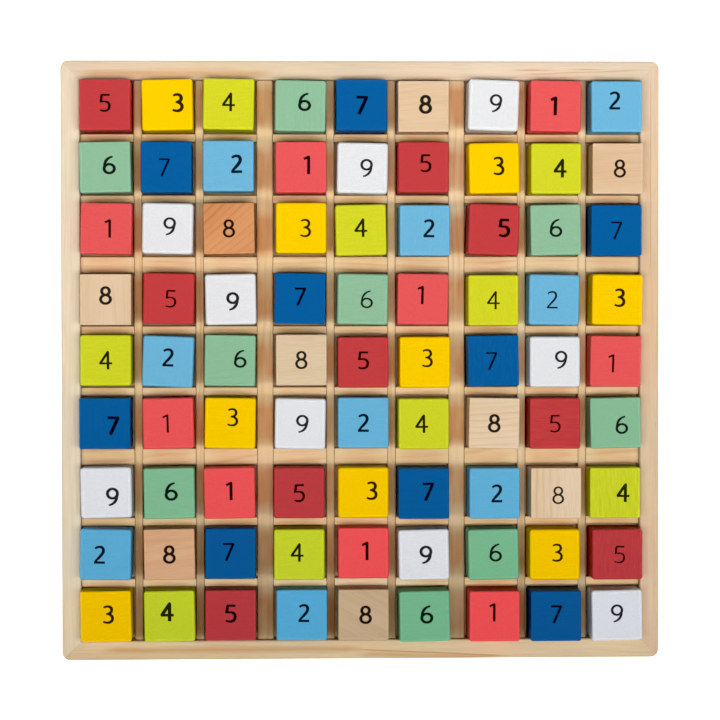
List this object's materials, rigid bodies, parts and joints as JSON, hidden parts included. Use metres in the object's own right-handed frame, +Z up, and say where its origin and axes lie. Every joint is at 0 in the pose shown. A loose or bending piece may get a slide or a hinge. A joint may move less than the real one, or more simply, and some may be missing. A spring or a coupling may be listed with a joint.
{
  "type": "sudoku board",
  "caption": "Square wooden tray with a cross-lapped slat grid; every cell holds a loose coloured cube printed with a number that lifts out.",
  "frame": {"origin": "under the middle of the square tray, on the surface that it stands on", "axes": "+Z up out of the tray, +X along a row from its first cell to its last, +Y towards the first row of the puzzle"},
  "size_m": [0.2966, 0.2966, 0.031],
  "materials": {
    "rail_wood": "pale sanded pine, grain along the rail",
    "slat_wood": "pale sanded pine, grain along the slat",
    "panel_wood": "sanded birch plywood",
    "cube_coral": "coral satin paint over fine wood grain",
    "cube_sky_blue": "sky blue satin paint over fine wood grain",
    "cube_yellow": "warm yellow satin paint over fine wood grain",
    "cube_lime": "lime green satin paint over fine wood grain",
    "cube_dark_red": "dark red satin paint over fine wood grain",
    "cube_mint": "mint green satin paint over fine wood grain",
    "cube_dark_blue": "dark blue satin paint over fine wood grain",
    "cube_natural": "bare sanded beech, different grain on each cube",
    "cube_white": "white satin paint over fine wood grain"
  },
  "bodies": {
    "tray": {"rail_front": "rail_wood", "rail_right": "rail_wood", "rail_back": "rail_wood", "rail_left": "rail_wood", "base_panel": "panel_wood", "column_slat_1": "slat_wood", "column_slat_2": "slat_wood", "column_slat_3": "slat_wood", "column_slat_4": "slat_wood", "column_slat_5": "slat_wood", "column_slat_6": "slat_wood", "column_slat_7": "slat_wood", "column_slat_8": "slat_wood", "row_slat_1": "slat_wood", "row_slat_2": "slat_wood", "row_slat_3": "slat_wood", "row_slat_4": "slat_wood", "row_slat_5": "slat_wood", "row_slat_6": "slat_wood", "row_slat_7": "slat_wood", "row_slat_8": "slat_wood"},
    "cube_r1_c1": {"cube_r1_c1": "cube_dark_red"},
    "cube_r1_c2": {"cube_r1_c2": "cube_yellow"},
    "cube_r1_c3": {"cube_r1_c3": "cube_lime"},
    "cube_r2_c1": {"cube_r2_c1": "cube_mint"},
    "cube_r2_c2": {"cube_r2_c2": "cube_dark_blue"},
    "cube_r2_c3": {"cube_r2_c3": "cube_sky_blue"},
    "cube_r3_c1": {"cube_r3_c1": "cube_coral"},
    "cube_r3_c2": {"cube_r3_c2": "cube_white"},
    "cube_r3_c3": {"cube_r3_c3": "cube_natural"},
    "cube_r4_c4": {"cube_r4_c4": "cube_dark_blue"},
    "cube_r4_c5": {"cube_r4_c5": "cube_mint"},
    "cube_r4_c6": {"cube_r4_c6": "cube_coral"},
    "cube_r5_c4": {"cube_r5_c4": "cube_natural"},
    "cube_r5_c5": {"cube_r5_c5": "cube_dark_red"},
    "cube_r5_c6": {"cube_r5_c6": "cube_yellow"},
    "cube_r6_c4": {"cube_r6_c4": "cube_white"},
    "cube_r6_c5": {"cube_r6_c5": "cube_sky_blue"},
    "cube_r6_c6": {"cube_r6_c6": "cube_lime"},
    "cube_r7_c7": {"cube_r7_c7": "cube_sky_blue"},
    "cube_r7_c8": {"cube_r7_c8": "cube_natural"},
    "cube_r7_c9": {"cube_r7_c9": "cube_lime"},
    "cube_r8_c7": {"cube_r8_c7": "cube_mint"},
    "cube_r8_c8": {"cube_r8_c8": "cube_yellow"},
    "cube_r8_c9": {"cube_r8_c9": "cube_dark_red"},
    "cube_r9_c7": {"cube_r9_c7": "cube_coral"},
    "cube_r9_c8": {"cube_r9_c8": "cube_dark_blue"},
    "cube_r9_c9": {"cube_r9_c9": "cube_white"},
    "cube_set_1": {"cube_set_1": "cube_coral"},
    "cube_set_2": {"cube_set_2": "cube_sky_blue"},
    "cube_set_3": {"cube_set_3": "cube_yellow"},
    "cube_set_4": {"cube_set_4": "cube_lime"},
    "cube_set_5": {"cube_set_5": "cube_dark_red"},
    "cube_set_6": {"cube_set_6": "cube_mint"},
    "cube_set_7": {"cube_set_7": "cube_dark_blue"},
    "cube_set_8": {"cube_set_8": "cube_natural"},
    "cube_set_9": {"cube_set_9": "cube_white"}
  },
  "joints": [
    {"name": "lift_cube_r1_c1", "type": "slide", "parent": "tray", "child": "cube_r1_c1", "axis": [0, 0, 1], "range_m": [0, 0.04]},
    {"name": "lift_cube_r1_c2", "type": "slide", "parent": "tray", "child": "cube_r1_c2", "axis": [0, 0, 1], "range_m": [0, 0.04]},
    {"name": "lift_cube_r1_c3", "type": "slide", "parent": "tray", "child": "cube_r1_c3", "axis": [0, 0, 1], "range_m": [0, 0.04]},
    {"name": "lift_cube_r2_c1", "type": "slide", "parent": "tray", "child": "cube_r2_c1", "axis": [0, 0, 1], "range_m": [0, 0.04]},
    {"name": "lift_cube_r2_c2", "type": "slide", "parent": "tray", "child": "cube_r2_c2", "axis": [0, 0, 1], "range_m": [0, 0.04]},
    {"name": "lift_cube_r2_c3", "type": "slide", "parent": "tray", "child": "cube_r2_c3", "axis": [0, 0, 1], "range_m": [0, 0.04]},
    {"name": "lift_cube_r3_c1", "type": "slide", "parent": "tray", "child": "cube_r3_c1", "axis": [0, 0, 1], "range_m": [0, 0.04]},
    {"name": "lift_cube_r3_c2", "type": "slide", "parent": "tray", "child": "cube_r3_c2", "axis": [0, 0, 1], "range_m": [0, 0.04]},
    {"name": "lift_cube_r3_c3", "type": "slide", "parent": "tray", "child": "cube_r3_c3", "axis": [0, 0, 1], "range_m": [0, 0.04]},
    {"name": "lift_cube_r4_c4", "type": "slide", "parent": "tray", "child": "cube_r4_c4", "axis": [0, 0, 1], "range_m": [0, 0.04]},
    {"name": "lift_cube_r4_c5", "type": "slide", "parent": "tray", "child": "cube_r4_c5", "axis": [0, 0, 1], "range_m": [0, 0.04]},
    {"name": "lift_cube_r4_c6", "type": "slide", "parent": "tray", "child": "cube_r4_c6", "axis": [0, 0, 1], "range_m": [0, 0.04]},
    {"name": "lift_cube_r5_c4", "type": "slide", "parent": "tray", "child": "cube_r5_c4", "axis": [0, 0, 1], "range_m": [0, 0.04]},
    {"name": "lift_cube_r5_c5", "type": "slide", "parent": "tray", "child": "cube_r5_c5", "axis": [0, 0, 1], "range_m": [0, 0.04]},
    {"name": "lift_cube_r5_c6", "type": "slide", "parent": "tray", "child": "cube_r5_c6", "axis": [0, 0, 1], "range_m": [0, 0.04]},
    {"name": "lift_cube_r6_c4", "type": "slide", "parent": "tray", "child": "cube_r6_c4", "axis": [0, 0, 1], "range_m": [0, 0.04]},
    {"name": "lift_cube_r6_c5", "type": "slide", "parent": "tray", "child": "cube_r6_c5", "axis": [0, 0, 1], "range_m": [0, 0.04]},
    {"name": "lift_cube_r6_c6", "type": "slide", "parent": "tray", "child": "cube_r6_c6", "axis": [0, 0, 1], "range_m": [0, 0.04]},
    {"name": "lift_cube_r7_c7", "type": "slide", "parent": "tray", "child": "cube_r7_c7", "axis": [0, 0, 1], "range_m": [0, 0.04]},
    {"name": "lift_cube_r7_c8", "type": "slide", "parent": "tray", "child": "cube_r7_c8", "axis": [0, 0, 1], "range_m": [0, 0.04]},
    {"name": "lift_cube_r7_c9", "type": "slide", "parent": "tray", "child": "cube_r7_c9", "axis": [0, 0, 1], "range_m": [0, 0.04]},
    {"name": "lift_cube_r8_c7", "type": "slide", "parent": "tray", "child": "cube_r8_c7", "axis": [0, 0, 1], "range_m": [0, 0.04]},
    {"name": "lift_cube_r8_c8", "type": "slide", "parent": "tray", "child": "cube_r8_c8", "axis": [0, 0, 1], "range_m": [0, 0.04]},
    {"name": "lift_cube_r8_c9", "type": "slide", "parent": "tray", "child": "cube_r8_c9", "axis": [0, 0, 1], "range_m": [0, 0.04]},
    {"name": "lift_cube_r9_c7", "type": "slide", "parent": "tray", "child": "cube_r9_c7", "axis": [0, 0, 1], "range_m": [0, 0.04]},
    {"name": "lift_cube_r9_c8", "type": "slide", "parent": "tray", "child": "cube_r9_c8", "axis": [0, 0, 1], "range_m": [0, 0.04]},
    {"name": "lift_cube_r9_c9", "type": "slide", "parent": "tray", "child": "cube_r9_c9", "axis": [0, 0, 1], "range_m": [0, 0.04]},
    {"name": "lift_cube_set_1", "type": "slide", "parent": "tray", "child": "cube_set_1", "axis": [0, 0, 1], "range_m": [0, 0.04]},
    {"name": "lift_cube_set_2", "type": "slide", "parent": "tray", "child": "cube_set_2", "axis": [0, 0, 1], "range_m": [0, 0.04]},
    {"name": "lift_cube_set_3", "type": "slide", "parent": "tray", "child": "cube_set_3", "axis": [0, 0, 1], "range_m": [0, 0.04]},
    {"name": "lift_cube_set_4", "type": "slide", "parent": "tray", "child": "cube_set_4", "axis": [0, 0, 1], "range_m": [0, 0.04]},
    {"name": "lift_cube_set_5", "type": "slide", "parent": "tray", "child": "cube_set_5", "axis": [0, 0, 1], "range_m": [0, 0.04]},
    {"name": "lift_cube_set_6", "type": "slide", "parent": "tray", "child": "cube_set_6", "axis": [0, 0, 1], "range_m": [0, 0.04]},
    {"name": "lift_cube_set_7", "type": "slide", "parent": "tray", "child": "cube_set_7", "axis": [0, 0, 1], "range_m": [0, 0.04]},
    {"name": "lift_cube_set_8", "type": "slide", "parent": "tray", "child": "cube_set_8", "axis": [0, 0, 1], "range_m": [0, 0.04]},
    {"name": "lift_cube_set_9", "type": "slide", "parent": "tray", "child": "cube_set_9", "axis": [0, 0, 1], "range_m": [0, 0.04]}
  ]
}
